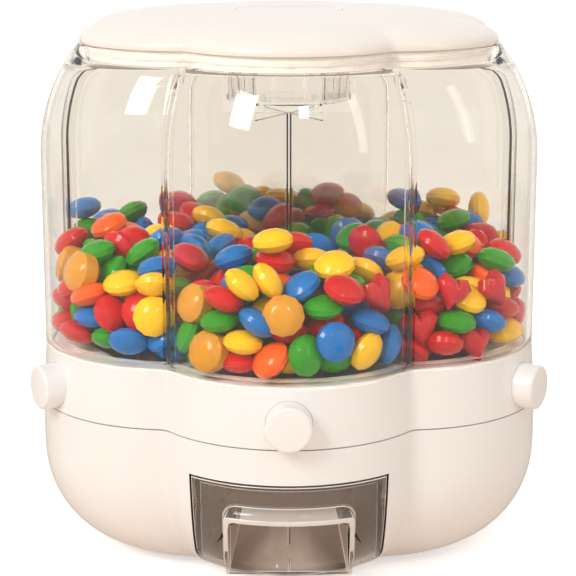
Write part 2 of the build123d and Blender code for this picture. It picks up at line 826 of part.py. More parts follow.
def ramp(grow, low, throat):
    """The back of the grip's hollow: it climbs from the drawer's front edge and narrows inwards."""
    half = hood_half + grow
    top = hood_rim_top + foot_height + grow
    slim = half - pocket_taper
    front = -bowl_tip(drawer_bottom)
    back = front + pocket_depth + grow
    near = [(-half, front, low), (half, front, low), (half, front, top), (-half, front, top)]
    foot = top - throat
    far = [(-slim, back, foot), (slim, back, foot), (slim, back, top), (-slim, back, top)]
    return flat_sided([near, far])


def catch_drawer():
    """A tray behind a front that follows the bowl, with an open grip like a small awning."""
    outer = bowl_form(0, base_top, bowl_steps, shown_sides)
    inner = bowl_form(drawer_skin, base_top, inner_steps, hidden_sides)
    front = opening_prism(drawer_gap) & (outer - inner)
    side = tray_half()
    wall = drawer_wall
    tray = block(-side, side, -base_tip, -drawer_back, drawer_bottom, drawer_top)
    tray = tray & outer & opening_prism(drawer_gap, drawer_back)
    room = block(wall - side, side - wall, -base_tip, -drawer_back - wall, drawer_bottom + wall, base_top)
    room = room & inner & opening_prism(drawer_gap + wall, drawer_back)
    drawer = front + (tray - room)
    edge = bowl_tip(drawer_bottom)
    hood = Pos(0, -edge, 0) * extrude(Plane.XZ * hood_face(0, drawer_bottom), base_tip + hood_reach - edge)
    hood = hood & grip_form()
    lip = drawer_bottom + pocket_lip
    hollow = Pos(0, -edge, 0) * extrude(Plane.XZ * hood_face(-wall, lip), base_tip + hood_reach + 1 - edge)
    drawer = drawer + hood + ramp(0, drawer_bottom, pocket_throat + 2 * wall)
    return drawer - hollow - ramp(-wall, lip, pocket_throat)


save(base_bowl(), "base_bowl")
save(base_deck(), "base_deck")
save(base_screws(), "base_screws")
save(rubber_feet(), "rubber_feet")
save(slide_ring(), "slide_ring")
save(spindle_post(), "spindle_post")
save(spindle_washer(), "spindle_washer")
save(spindle_screw(), "spindle_screw")
save(detent_leaf(), "detent_leaf")
save(ring_housing(), "ring_housing")
save(carousel_plate(), "carousel_plate")
save(hub_bush(), "hub_bush")
save(carousel_screws(), "carousel_screws")
save(hopper_floor(), "hopper_floor")
save(clear_barrel(), "clear_barrel")
save(barrel_gasket(), "barrel_gasket")
save(divider_star(), "divider_star")
for k in range(lobe_count):
    turn = Rot(0, 0, lobe_pitch * k)
    save(turn * button(), f"button_{k + 1}")
    save(turn * gate_slide(), f"gate_slide_{k + 1}")
    save(turn * gate_spring(), f"gate_spring_{k + 1}")
save(lid_cover(), "lid_cover")
save(lid_seal(), "lid_seal")
save(lid_centre_cap(), "lid_centre_cap")
save(desiccant_basket(), "desiccant_basket")
save(catch_drawer(), "catch_drawer")
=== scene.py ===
from math import atan2, cos, pi, radians, sin, sqrt

import bmesh
import bpy
import numpy as np
from mathutils import Matrix, Vector


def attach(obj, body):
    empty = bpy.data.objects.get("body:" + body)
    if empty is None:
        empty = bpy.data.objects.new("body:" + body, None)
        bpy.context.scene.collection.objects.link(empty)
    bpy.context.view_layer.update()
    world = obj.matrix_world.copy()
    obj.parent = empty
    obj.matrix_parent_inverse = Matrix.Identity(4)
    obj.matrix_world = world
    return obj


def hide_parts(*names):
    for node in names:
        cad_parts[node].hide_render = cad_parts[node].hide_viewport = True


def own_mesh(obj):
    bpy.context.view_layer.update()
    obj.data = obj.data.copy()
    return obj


# A turntable dispenser for small sweets, put together from the table up: bowl, drawer, turntable parts,
# button ring, buttons, clear barrel, sweets, lid and drying-agent basket. Front is -Y, metres.

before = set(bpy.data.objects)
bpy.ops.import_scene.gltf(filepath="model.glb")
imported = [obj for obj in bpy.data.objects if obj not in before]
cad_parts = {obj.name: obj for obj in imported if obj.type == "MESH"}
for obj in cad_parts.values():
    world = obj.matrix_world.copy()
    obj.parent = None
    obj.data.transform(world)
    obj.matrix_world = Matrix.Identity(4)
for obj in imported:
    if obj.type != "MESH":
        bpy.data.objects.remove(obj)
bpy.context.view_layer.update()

# Base bowl: the white foot of the dispenser, one injection moulding in ABS with six lobes in plan.
# It stands on rubber pads, carries the turntable and has the drawer's opening in its front lobe.
mm = 0.001
lobes = 6
full_tip = 105 * mm
lobe_centre = 50 * mm
lobe_round = 55 * mm
valley_round = 6 * mm
foot_height = 1.2 * mm
bowl_tip = 106.6 * mm
bowl_bottom_tip = 68.6 * mm
bowl_curve = 42 * mm
bowl_top = 61.8 * mm
bowl_wall = 2.6 * mm
opening_half = 37.6 * mm
opening_taper = 1.6 * mm
opening_top = 48.4 * mm
opening_foot = 3.8 * mm
opening_corner = 9 * mm
opening_rise = 0.3 * mm
opening_back = -54 * mm
opening_front = -115 * mm
sharp_angle = radians(38)


def linear(code):
    """Turns an sRGB hex colour into the linear values that shaders take."""
    parts = [int(code[i:i + 2], 16) / 255 for i in (1, 3, 5)]
    return tuple(p / 12.92 if p <= 0.04045 else ((p + 0.055) / 1.055) ** 2.4 for p in parts) + (1.0,)


def add_node(material, kind, settings=(), links=()):
    """Adds one node, sets its properties or sockets, and links other nodes' sockets into it."""
    made = material.node_tree.nodes.new(kind)
    for name, value in dict(settings).items():
        if isinstance(name, int) or name in made.inputs:
            made.inputs[name].default_value = value
        else:
            setattr(made, name, value)
    for name, source in dict(links).items():
        material.node_tree.links.new(source, made.inputs[name])
    return made


def bare_material(name):
    """A material with an empty node tree."""
    material = bpy.data.materials.new(name)
    material.use_nodes = True
    material.node_tree.nodes.clear()
    return material


def white_abs(name, light, deep):
    """Glossy ABS straight from a polished mould: a faint cloud in its white and a fine even skin."""
    material = bare_material(name)
    place = add_node(material, "ShaderNodeTexCoord").outputs["Object"]
    cloud = add_node(material, "ShaderNodeTexNoise", {"Scale": 28, "Detail": 2}, {"Vector": place})
    tone = add_node(material, "ShaderNodeMix", {"data_type": "RGBA", 6: linear(light), 7: linear(deep)},
                    {0: cloud.outputs["Fac"]})
    wear = add_node(material, "ShaderNodeMapRange", {3: 0.16, 4: 0.27}, {0: cloud.outputs["Fac"]})
    # The skin of such a moulding varies over about 0.7 mm, drawn a little coarser so that it shows.
    skin = add_node(material, "ShaderNodeTexNoise", {"Scale": 900, "Detail": 1}, {"Vector": place})
    bump = add_node(material, "ShaderNodeBump", {"Strength": 0.04, "Distance": 0.0002},
                    {"Height": skin.outputs["Fac"]})
    shader = add_node(material, "ShaderNodeBsdfPrincipled",
                      {"IOR": 1.53, "Coat Weight": 0.25, "Coat Roughness": 0.08},
                      {"Base Color": tone.outputs[2], "Roughness": wear.outputs[0],
                       "Normal": bump.outputs[0]})
    add_node(material, "ShaderNodeOutputMaterial", {}, {"Surface": shader.outputs[0]})
    return material


def only_verts(made):
    """The vertices among what a bmesh operator has made."""
    return [part for part in made if isinstance(part, bmesh.types.BMVert)]


def lobed_loop(bm, tip, level, lobe_steps=24, valley_steps=6):
    """Draws a closed loop of edges by turning one corner round each lobe's and each valley's centre."""
    ratio = tip / full_tip
    centre, lobe, hollow = lobe_centre * ratio, lobe_round * ratio, valley_round * ratio
    half = pi / lobes
    reach = centre * cos(half) + sqrt((lobe + hollow) ** 2 - (centre * sin(half)) ** 2)
    sweep = atan2(reach * sin(half), reach * cos(half) - centre)
    aim = -pi / 2
    before = set(bm.edges)
    start = aim - sweep
    corner = bm.verts.new((centre * cos(aim) + lobe * cos(start),
                           centre * sin(aim) + lobe * sin(start), level))
    arcs = ((centre, 2 * sweep, lobe_steps), (reach, 2 * (half - sweep), valley_steps))
    for k in range(lobes):
        for radius, angle, steps in arcs:
            hub = (radius * cos(aim), radius * sin(aim), level)
            made = bmesh.ops.spin(bm, geom=[corner], cent=hub, axis=(0, 0, 1), angle=angle, steps=steps)
            corner = only_verts(made["geom_last"])[0]
            aim += half
    fresh = dict.fromkeys(v for e in bm.edges if e not in before for v in e.verts)
    bmesh.ops.remove_doubles(bm, verts=list(fresh), dist=1e-6)
    return [e for e in bm.edges if e not in before]


def climb(bm, loop, profile):
    """Carries a loop of edges through the (tip, level) pairs of a profile, which starts with its own."""
    for (tip, level), (new_tip, new_level) in zip(profile, profile[1:]):
        made = bmesh.ops.extrude_edge_only(bm, edges=loop)["geom"]
        verts = only_verts(made)
        ends = set(verts)
        touching = dict.fromkeys(e for v in verts for e in v.link_edges)
        loop = [e for e in touching if e.verts[0] in ends and e.verts[1] in ends]
        bmesh.ops.scale(bm, vec=(new_tip / tip, new_tip / tip, 1), verts=verts)
        bmesh.ops.translate(bm, vec=(0, 0, new_level - level), verts=verts)
    return loop


def lobed_body(profile, close=True):
    """A six-lobed shape through a profile of (tip, level) pairs, closed at both ends unless told not to."""
    bm = bmesh.new()
    first = lobed_loop(bm, *profile[0])
    last = climb(bm, first, profile)
    if close:
        bmesh.ops.edgeloop_fill(bm, edges=first)
        bmesh.ops.edgeloop_fill(bm, edges=last)
        bmesh.ops.recalc_face_normals(bm, faces=bm.faces)
    return bm


def make_piece(name, bm, material):
    """Makes an object of a bmesh, smooth apart from its sharp edges."""
    mesh = bpy.data.meshes.new(name)
    bm.to_mesh(mesh)
    bm.free()
    mesh.materials.append(material)
    mesh.shade_smooth()
    mesh.set_sharp_from_angle(angle=sharp_angle)
    piece = bpy.data.objects.new(name, mesh)
    bpy.context.scene.collection.objects.link(piece)
    return piece


def settle(piece):
    """Turns a piece's modifiers into mesh."""
    graph = bpy.context.evaluated_depsgraph_get()
    mesh = bpy.data.meshes.new_from_object(piece.evaluated_get(graph))
    piece.modifiers.clear()
    old = piece.data
    piece.data = mesh
    mesh.name = old.name
    bpy.data.meshes.remove(old)
    mesh.shade_smooth()
    mesh.set_sharp_from_angle(angle=sharp_angle)


def join_pieces(piece, tool, operation):
    """Adds another piece to a piece, cuts it out, or keeps what both share, and uses it up."""
    change = piece.modifiers.new("change", "BOOLEAN")
    change.operation = operation
    change.solver = "EXACT"
    change.object = tool
    settle(piece)
    mesh = tool.data
    bpy.data.objects.remove(tool)
    bpy.data.meshes.remove(mesh)


def combine(piece, bm, operation):
    """The same with the shape that a bmesh holds."""
    join_pieces(piece, make_piece("tool", bm, piece.data.materials[0]), operation)


def add_wall(piece, thickness):
    """Gives an open skin its wall, inwards."""
    wall = piece.modifiers.new("wall", "SOLIDIFY")
    wall.thickness = thickness
    wall.offset = -1
    wall.use_even_offset = True
    settle(piece)


def soften(piece, width, segments=2, clamped=True):
    """Rounds a piece's sharp edges, as a mould leaves them."""
    edge = piece.modifiers.new("edge", "BEVEL")
    edge.width = width
    edge.segments = segments
    edge.limit_method = "ANGLE"
    edge.angle_limit = sharp_angle
    edge.use_clamp_overlap = clamped


def front_plate(corners, near, far, rounded=(), radius=0.0, steps=8):
    """A thick plate that faces the front, from y near to y far, with (x, z) corners, some of them rounded."""
    bm = bmesh.new()
    verts = [bm.verts.new((x, near, z)) for x, z in corners]
    bm.faces.new(verts)
    if rounded:
        bmesh.ops.bevel(bm, geom=[verts[k] for k in rounded], affect="VERTICES", offset=radius,
                        segments=steps, profile=0.5, material=-1)
    made = bmesh.ops.extrude_face_region(bm, geom=bm.faces[:])["geom"]
    bmesh.ops.translate(bm, vec=(0, far - near, 0), verts=only_verts(made))
    bmesh.ops.recalc_face_normals(bm, faces=bm.faces)
    return bm


def box_corners(half, first, last):
    """The four (x, z) corners of an upright rectangle in the middle, from its first level to its last."""
    return [(-half, first), (half, first), (half, last), (-half, last)]


def opening_plate(gap, near=opening_back):
    """The drawer opening's outline, drawn in by a gap: square above, rounded and slightly narrower below."""
    half = opening_half - gap
    foot = opening_half - opening_taper - gap
    low = opening_foot + (opening_rise if gap else 0)
    corners = [(-half, opening_top - gap), (half, opening_top - gap), (foot, low), (-foot, low)]
    return front_plate(corners, near, opening_front, (2, 3), opening_corner - gap)


def bowl_profile(steps=14):
    """The bowl's side: a quarter ellipse up from the underside, then upright to its rim."""
    turns = [pi / 2 * k / steps for k in range(steps + 1)]
    flare = bowl_tip - bowl_bottom_tip
    side = [(bowl_bottom_tip + flare * sin(a), foot_height + bowl_curve * (1 - cos(a))) for a in turns]
    return side + [(bowl_tip, bowl_top)]


moulded_white = white_abs("ABS, injection moulded, warm white, gloss", "#FCFBFA", "#F9F7F3")
bm = lobed_body(bowl_profile(), close=False)
underside = [e for e in bm.edges if e.is_boundary and e.verts[0].co.z < 2 * foot_height]
bmesh.ops.edgeloop_fill(bm, edges=underside)
bmesh.ops.recalc_face_normals(bm, faces=bm.faces)
bowl = make_piece("bowl", bm, moulded_white)
add_wall(bowl, bowl_wall)
combine(bowl, opening_plate(0), "DIFFERENCE")
soften(bowl, 0.45 * mm)
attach(bowl, "base")
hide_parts("base_bowl")

# Parts inside the bowl and the turntable: moulded ABS deck, plate and funnel floor, acetal ring, bush,
# slides and detent leaf, plated steel spindle, screws and springs, soft pads under the bowl.


def plain_plastic(name, light, deep, rough, grain):
    """A moulded plastic or rubber with a matt skin whose grain has the given size in millimetres."""
    material = bare_material(name)
    place = add_node(material, "ShaderNodeTexCoord").outputs["Object"]
    skin = add_node(material, "ShaderNodeTexNoise", {"Scale": 1000 / grain, "Detail": 3}, {"Vector": place})
    tone = add_node(material, "ShaderNodeMix", {"data_type": "RGBA", 6: linear(light), 7: linear(deep)},
                    {0: skin.outputs["Fac"]})
    bump = add_node(material, "ShaderNodeBump", {"Strength": 0.15, "Distance": 0.0002},
                    {"Height": skin.outputs["Fac"]})
    shader = add_node(material, "ShaderNodeBsdfPrincipled", {"Roughness": rough},
                      {"Base Color": tone.outputs[2], "Normal": bump.outputs[0]})
    add_node(material, "ShaderNodeOutputMaterial", {}, {"Surface": shader.outputs[0]})
    return material


def plated_steel(name):
    """Zinc-plated steel as small screws and springs have it: grey, softly mirrored, faintly streaked."""
    material = bare_material(name)
    place = add_node(material, "ShaderNodeTexCoord").outputs["Object"]
    streak = add_node(material, "ShaderNodeTexNoise", {"Scale": 1800, "Detail": 2}, {"Vector": place})
    rough = add_node(material, "ShaderNodeMapRange", {3: 0.25, 4: 0.42}, {0: streak.outputs["Fac"]})
    shader = add_node(material, "ShaderNodeBsdfPrincipled",
                      {"Base Color": linear("#C4C6C8"), "Metallic": 1.0}, {"Roughness": rough.outputs[0]})
    add_node(material, "ShaderNodeOutputMaterial", {}, {"Surface": shader.outputs[0]})
    return material


acetal = plain_plastic("Acetal, injection moulded, natural", "#F4F3EE", "#E9E7DF", 0.42, 0.8)
pad_rubber = plain_plastic("Rubber, moulded pad, pale", "#DCDAD5", "#C9C6C0", 0.75, 0.5)
seal_rubber = plain_plastic("Silicone, moulded seal, milky", "#F1EEE9", "#E3DFD8", 0.5, 0.6)
steel = plated_steel("Steel, zinc plated")
inner_finishes = {"base_deck": moulded_white, "carousel_plate": moulded_white, "hopper_floor": moulded_white,
                  "slide_ring": acetal, "hub_bush": acetal, "detent_leaf": acetal, "rubber_feet": pad_rubber,
                  "barrel_gasket": seal_rubber, "base_screws": steel, "carousel_screws": steel,
                  "spindle_post": steel, "spindle_washer": steel, "spindle_screw": steel}
for k in range(1, lobes + 1):
    inner_finishes[f"gate_slide_{k}"] = acetal
for node_name, finish in inner_finishes.items():
    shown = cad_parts[node_name]
    shown.data.materials.clear()
    shown.data.materials.append(finish)

# Catch drawer: a tray of smoked clear polystyrene behind a front that carries on the bowl's curve.
# Its grip swells out like a small awning, with a ramp behind it that a fingertip slides up.
drawer_gap = 0.8 * mm
drawer_skin = 2.2 * mm
drawer_wall = 1.8 * mm
drawer_bottom = 4.1 * mm
drawer_top = 46.8 * mm
tray_half = 34.8 * mm
tray_back = -36 * mm
grip_half = 24.5 * mm
grip_top = 39.2 * mm
grip_rim_top = 36.3 * mm
grip_corner = 5 * mm
grip_reach = 6.2 * mm
grip_front = -120 * mm
ramp_depth = 11 * mm
ramp_taper = 5 * mm
ramp_throat = 4.4 * mm
ramp_lip = 1.2 * mm
ramp_front = -82.6 * mm
ramp_rib = 0.6 * mm
ramp_rib_rise = 1.0 * mm
pin_round = 5 * mm
pin_spot = (-1.5 * mm, 8 * mm, 4.6 * mm)
lobe_flatness = 0.6
skin_gap = 0.2 * mm
face_gap = 0.1 * mm


def tip_at(level):
    """The bowl's tip radius at a level."""
    fall = max(0.0, 1 - (level - foot_height) / bowl_curve)
    return bowl_bottom_tip + (bowl_tip - bowl_bottom_tip) * sqrt(1 - fall ** 2)


def wedge(half, low, high, far_half, far_low, near, far):
    """A block whose far end is narrower and starts higher than its near end."""
    bm = bmesh.new()
    bmesh.ops.create_cube(bm, size=1)
    bmesh.ops.transform(bm, matrix=Matrix.Translation((0, (near + far) / 2, (low + high) / 2))
                        @ Matrix.Diagonal((2 * half, abs(far - near), high - low, 1)), verts=bm.verts)
    back = [v for v in bm.verts if v.co.y > (near + far) / 2]
    bmesh.ops.scale(bm, vec=(far_half / half, 1, (high - far_low) / (high - low)), verts=back,
                    space=Matrix.Translation((0, 0, -high)))
    return bm


def by_ray(material, kind, others, chosen):
    """Gives one shader to rays of one kind, such as "Is Shadow Ray", and another to all the other rays."""
    path = add_node(material, "ShaderNodeLightPath")
    return add_node(material, "ShaderNodeMixShader", {},
                    {0: path.outputs[kind], 1: others.outputs[0], 2: chosen.outputs[0]})


def let_light_through(material, shader, tint):
    """Ends a see-through material: light on its way to other things is tinted, not blocked."""
    clear = add_node(material, "ShaderNodeBsdfTransparent", {"Color": linear(tint)})
    mix = by_ray(material, "Is Shadow Ray", shader, clear)
    add_node(material, "ShaderNodeOutputMaterial", {}, {"Surface": mix.outputs[0]})


def smoked_plastic(name, light, deep, clearness):
    """Smoked polystyrene, polished: see-through brown-grey, a little milky, with faint flow marks."""
    material = bare_material(name)
    place = add_node(material, "ShaderNodeTexCoord").outputs["Object"]
    flow = add_node(material, "ShaderNodeTexNoise", {"Scale": 60, "Detail": 2, "Distortion": 1.2},
                    {"Vector": place})
    tone = add_node(material, "ShaderNodeMix", {"data_type": "RGBA", 6: linear(light), 7: linear(deep)},
                    {0: flow.outputs["Fac"]})
    rough = add_node(material, "ShaderNodeMapRange", {3: 0.05, 4: 0.1}, {0: flow.outputs["Fac"]})
    shader = add_node(material, "ShaderNodeBsdfPrincipled",
                      {"IOR": 1.2, "Transmission Weight": clearness,
                       "Coat Weight": 0.7, "Coat IOR": 1.55, "Coat Roughness": 0.03},
                      {"Base Color": tone.outputs[2], "Roughness": rough.outputs[0]})
    let_light_through(material, shader, "#D2C8BF")
    return material


smoked = smoked_plastic("Polystyrene, injection moulded, smoked, polished", "#CDC0B6", "#C3B4A8", 0.84)
# painted light: the grip and its ramp, whose two walls lie close together, get a lighter, less clear copy
# of the smoked plastic for the light they catch; painted highlight: a near-white copy on the grip's cut rim;
# painted shadow: a dark copy on the lip's front under the grip
smoked_painted_light = smoked_plastic("Polystyrene, smoked, painted light on grip", "#F3E9E1", "#ECE0D7", 0.5)
smoked_painted_highlight = smoked_plastic("Polystyrene, smoked, painted highlight on rim", "#FCF8F5", "#F7F1EC", 0.2)
smoked_painted_shadow = smoked_plastic("Polystyrene, smoked, painted shadow under grip", "#5A4A40", "#4C3E35", 0.5)
bm = lobed_body(bowl_profile(), close=False)
bmesh.ops.recalc_face_normals(bm, faces=bm.faces)
drawer = make_piece("drawer", bm, smoked)
add_wall(drawer, drawer_skin)
combine(drawer, opening_plate(drawer_gap), "INTERSECT")
tray = make_piece("tray", lobed_body(bowl_profile()), smoked)
combine(tray, opening_plate(drawer_gap, tray_back), "INTERSECT")
combine(tray, front_plate(box_corners(tray_half, drawer_top, 0), tray_back, -bowl_tip), "INTERSECT")
inner_bowl = [(tip - drawer_skin, level) for tip, level in bowl_profile()]
room = make_piece("room", lobed_body(inner_bowl), smoked)
combine(room, opening_plate(drawer_gap + drawer_wall, tray_back - drawer_wall), "INTERSECT")
room_half = tray_half - drawer_wall
room_floor = drawer_bottom + drawer_wall
combine(room, front_plate(box_corners(room_half, bowl_top, room_floor), tray_back - drawer_wall, -bowl_tip),
        "INTERSECT")
join_pieces(tray, room, "DIFFERENCE")
join_pieces(drawer, tray, "UNION")

# the grip: an awning that swells out of the front, open below and behind, with the ramp at its back
grip_height = grip_rim_top - drawer_bottom
swell = [drawer_bottom + grip_height * k / 10 for k in range(10)] + [grip_rim_top - drawer_wall, grip_rim_top]
awning_side = [(tip_at(z) + grip_reach * sin(pi / 2 * (z - drawer_bottom) / grip_height), z) for z in swell]
awning_side.append((bowl_tip, grip_top))
awning = make_piece("awning", lobed_body(awning_side), smoked)
front_edge = -tip_at(drawer_bottom)
shape = box_corners(grip_half, drawer_bottom, grip_top)
combine(awning, front_plate(shape, front_edge, grip_front, (2, 3), grip_corner), "INTERSECT")
join_pieces(drawer, awning, "UNION")
ramp_end = front_edge + ramp_depth
combine(drawer, wedge(grip_half, drawer_bottom, grip_rim_top, grip_half - ramp_taper,
                      grip_rim_top - ramp_throat - 2 * drawer_wall, front_edge, ramp_end), "UNION")
hollow_half = grip_half - drawer_wall
hollow_low = drawer_bottom + ramp_lip
hollow_top = grip_rim_top - drawer_wall
shape = box_corners(hollow_half, hollow_low, hollow_top)
combine(drawer, front_plate(shape, front_edge, grip_front, (2, 3), grip_corner - drawer_wall), "DIFFERENCE")
combine(drawer, wedge(hollow_half, hollow_low, hollow_top, hollow_half - ramp_taper, hollow_top - ramp_throat,
                      front_edge, ramp_end - drawer_wall), "DIFFERENCE")
# a thin rib up the middle of the ramp and the shallow mark of the mould's ejector pin
ramp_run = ramp_depth - drawer_wall
ramp_rise = hollow_top - ramp_throat - hollow_low
slope = Matrix.Translation((0, front_edge, hollow_low)) @ Matrix.Rotation(atan2(ramp_rise, ramp_run), 4, "X")
ramp_length = sqrt(ramp_run ** 2 + ramp_rise ** 2)
bm = bmesh.new()
bmesh.ops.create_cube(bm, size=1, matrix=slope @ Matrix.Translation((0, ramp_length / 2, 0))
                      @ Matrix.Diagonal((ramp_rib, ramp_length - 1 * mm, ramp_rib_rise, 1)))
combine(drawer, bm, "UNION")
bm = bmesh.new()
bmesh.ops.create_uvsphere(bm, u_segments=32, v_segments=16, radius=pin_round,
                          matrix=slope @ Matrix.Translation(pin_spot))
combine(drawer, bm, "DIFFERENCE")
drawer.data.materials.clear()
for finish in (smoked, smoked_painted_light, smoked_painted_highlight, smoked_painted_shadow):
    drawer.data.materials.append(finish)
for face in drawer.data.polygons:
    x, y, z = face.center
    in_grip = abs(x) < grip_half + face_gap and z < grip_top + face_gap and y < ramp_end + face_gap
    swollen = y < -sqrt(max(0, tip_at(z) ** 2 - (lobe_flatness * x) ** 2)) - skin_gap
    at_edge = abs(x) > hollow_half - face_gap or z > hollow_top - face_gap
    on_rim = at_edge and face.normal.y < -0.6 and y < front_edge and z < grip_rim_top + face_gap
    face.material_index = 0
    # the swollen grip and the ramp take the lighter copy, painted light, and their cut rim the near-white
    # copy, a painted highlight
    if in_grip and (swollen or ramp_front < y < ramp_end):
        face.material_index = 2 if on_rim else 1
    # the lip's front under the grip takes the dark copy, a painted shadow for the shade beneath the grip
    if y < front_edge and z < hollow_low and abs(x) < grip_half:
        face.material_index = 3
soften(drawer, 0.35 * mm, clamped=False)
# the rounded edges take the near-white copy as well, a painted highlight along them
drawer.modifiers["edge"].material = 2
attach(drawer, "drawer")
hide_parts("catch_drawer")

# Button ring: the white band that carries the six buttons, moulded in ABS, screwed between the turntable's
# plate and the funnel floor. Each button runs in its own round bore.
ring_bottom = 62.3 * mm
ring_top = 84.5 * mm
ring_wall = 2.6 * mm
button_level = 71.8 * mm
button_round = 8.75 * mm
button_front = 113.5 * mm
button_back = 98.3 * mm
bore_gap = 0.1 * mm
bore_near = 95 * mm
bore_far = 110 * mm


def front_bar(radius, near, far, level, segments=64):
    """A round bar that points out of the front lobe."""
    bm = bmesh.new()
    bmesh.ops.create_cone(bm, cap_ends=True, segments=segments, radius1=radius, radius2=radius,
                          depth=far - near)
    turn = Matrix.Translation((0, -(near + far) / 2, level)) @ Matrix.Rotation(pi / 2, 4, "X")
    bmesh.ops.transform(bm, matrix=turn, verts=bm.verts)
    return bm


def turned(bm, k):
    """Turns a front-lobe shape to lobe k."""
    bmesh.ops.rotate(bm, cent=(0, 0, 0), matrix=Matrix.Rotation(2 * pi / lobes * k, 3, "Z"), verts=bm.verts)
    return bm


bm = lobed_body([(bowl_tip, ring_bottom), (bowl_tip, ring_bottom + 1 * mm),
                 (full_tip, ring_top - 1 * mm), (full_tip, ring_top)], close=False)
bmesh.ops.recalc_face_normals(bm, faces=bm.faces)
ring = make_piece("button_ring", bm, moulded_white)
add_wall(ring, ring_wall)
for k in range(lobes):
    bore = front_bar(button_round + bore_gap, bore_near, bore_far, button_level)
    combine(ring, turned(bore, k), "DIFFERENCE")
soften(ring, 0.4 * mm, 3)
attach(ring, "carousel")
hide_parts("ring_housing")

# Buttons: six round caps moulded in the same white ABS, each pushed in against its spring to open one gate.
# Their faces are flat with a rounded rim, and two ears behind stop them at the ring's collar.
ear_half = 11.15 * mm
ear_rise = 4 * mm
ear_depth = 1.5 * mm
hollow_side = 5.2 * mm
stem_low = 66.8 * mm
spring_high = 74.6 * mm
button_skin = 2.5 * mm
for k in range(lobes):
    bm = front_bar(button_round, button_back, button_front, button_level, 72)
    front = [f for f in bm.faces if f.normal.y < -0.9]
    rim = [e for f in front for e in f.edges]
    bmesh.ops.bevel(bm, geom=rim, affect="EDGES", offset=1.3 * mm, segments=5, profile=0.5, material=-1)
    button = make_piece(f"button_cap_{k + 1}", bm, moulded_white)
    ears = box_corners(ear_half, button_level - ear_rise, button_level + ear_rise)
    combine(button, front_plate(ears, -button_back, -button_back - ear_depth), "UNION")
    # the hollow behind the face takes the gate's stem and the spring
    hollow = front_plate(box_corners(hollow_side, stem_low, spring_high), 1 * mm - button_back,
                         button_skin - button_front)
    combine(button, hollow, "DIFFERENCE")
    button.data.transform(Matrix.Rotation(2 * pi / lobes * k, 4, "Z"))
    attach(button, f"push_{k + 1}")
    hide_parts(f"button_{k + 1}")

# Return springs: six short coils of plated steel wire, each held between a post on the turntable's plate
# and the inside of its button. On the real dispenser they shorten as the button goes in; these coils keep
# their length.
coil_near = 86 * mm
coil_far = 111 * mm
wire_round = 0.4 * mm
wire_margin = 1.1 * wire_round
coil_round = 2.1 * mm
coil_turns = 7
coil_steps = 14 * coil_turns
for k in range(lobes):
    bm = bmesh.new()
    start = Matrix.Translation((coil_round, -coil_near - wire_margin, button_level))
    bmesh.ops.create_circle(bm, segments=6, radius=wire_round, matrix=start)
    advance = (coil_far - coil_near - 2 * wire_margin) / coil_steps
    bmesh.ops.spin(bm, geom=bm.verts[:] + bm.edges[:], cent=(0, 0, button_level), axis=(0, -1, 0),
                   dvec=(0, -advance, 0), angle=2 * pi * coil_turns, steps=coil_steps)
    bmesh.ops.holes_fill(bm, edges=[e for e in bm.edges if e.is_boundary])
    bmesh.ops.recalc_face_normals(bm, faces=bm.faces)
    coil = make_piece(f"spring_coil_{k + 1}", turned(bm, k), steel)
    outward = Matrix.Rotation(2 * pi / lobes * k, 3, "Z") @ Vector((0, -1, 0))
    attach(coil, "carousel")
    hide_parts(f"gate_spring_{k + 1}")
    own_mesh(coil)

# Clear barrel: one polystyrene moulding, polished inside and out, six lobes that turn in at the shoulder.
# Its inward foot sits on the funnel floor, and ribs in each valley hold the dividers.
barrel_wall = 2.2 * mm
barrel_straight = 160 * mm
barrel_top = 203.6 * mm
shoulder_round = 66 * mm
foot_top = 87.1 * mm
foot_depth = 7 * mm
mouth_tip = 87.3 * mm
mouth_depth = 6.4 * mm
rib_near = 1.55 * mm
rib_width = 0.8 * mm
rib_depth = 3.2 * mm
rib_middle = -90 * mm
rib_length = 24 * mm
rib_top = 196.9 * mm


def clear_plastic(name, tint, rough):
    """Clear polystyrene with a mirror polish: its thin walls hardly bend what lies behind, but shine."""
    material = bare_material(name)
    place = add_node(material, "ShaderNodeTexCoord").outputs["Object"]
    sink = add_node(material, "ShaderNodeTexNoise", {"Scale": 22, "Detail": 1}, {"Vector": place})
    bump = add_node(material, "ShaderNodeBump", {"Strength": 0.05, "Distance": 0.001},
                    {"Height": sink.outputs["Fac"]})
    shader = add_node(material, "ShaderNodeBsdfPrincipled",
                      {"Base Color": linear(tint), "IOR": 1.12, "Transmission Weight": 1.0,
                       "Roughness": rough, "Coat Weight": 0.55, "Coat IOR": 1.55, "Coat Roughness": rough},
                      {"Normal": bump.outputs[0], "Coat Normal": bump.outputs[0]})
    let_light_through(material, shader, "#FBF8F5")
    return material


def shoulder_tip(level):
    """The barrel's tip radius at a level: upright, then along the shoulder's arc."""
    rise = max(0.0, level - barrel_straight)
    return full_tip - (shoulder_round - sqrt(shoulder_round ** 2 - rise ** 2))


